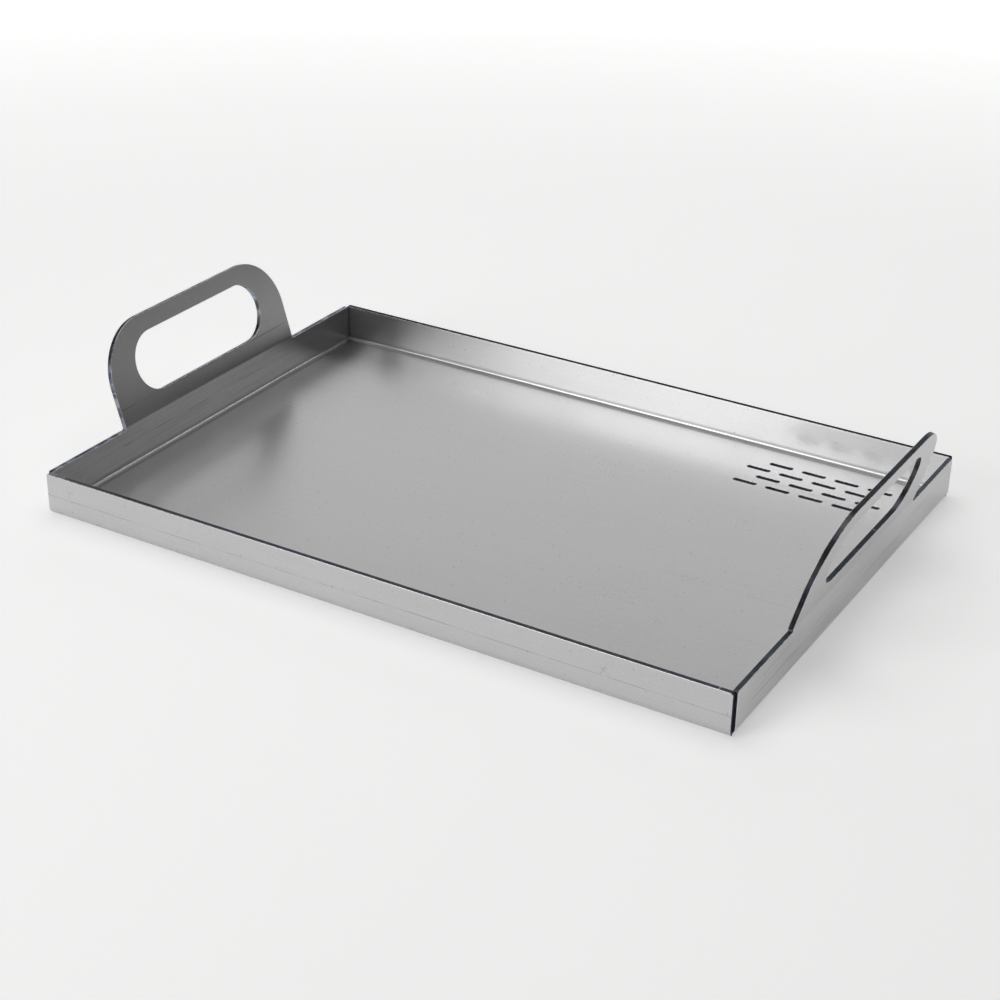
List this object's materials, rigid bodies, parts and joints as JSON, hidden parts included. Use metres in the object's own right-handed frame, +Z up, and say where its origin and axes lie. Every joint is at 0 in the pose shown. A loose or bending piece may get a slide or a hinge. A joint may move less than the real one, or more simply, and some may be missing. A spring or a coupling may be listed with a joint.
{
  "type": "camp griddle plate",
  "caption": "Shallow rectangular steel griddle plate folded from one sheet, with a flat floor, low walls, drain slots in a back corner and a leaning handle with a hand slot at each end.",
  "frame": {"origin": "middle of the floor's underside, on the plane that the plate stands on", "axes": "+X along the long side towards the right handle, +Y towards the back wall and the drain slots, +Z up"},
  "size_m": [0.4619, 0.302, 0.0839],
  "materials": {
    "sheet_steel": "satin cold rolled sheet with a fine grain along its length, faint scratches and dark laser cut edges",
    "bend_steel": "the same sheet where the press brake has stretched it, slightly burnished",
    "handle_steel": "satin cold rolled sheet with handling scratches and dark laser cut edges"
  },
  "bodies": {
    "root": {"floor_plate": "sheet_steel", "front_bend": "bend_steel", "back_bend": "bend_steel", "left_bend": "bend_steel", "right_bend": "bend_steel", "front_wall": "sheet_steel", "back_wall": "sheet_steel", "left_wall": "sheet_steel", "right_wall": "sheet_steel", "left_handle_bend": "bend_steel", "right_handle_bend": "bend_steel", "left_handle": "handle_steel", "right_handle": "handle_steel"}
  },
  "joints": []
}
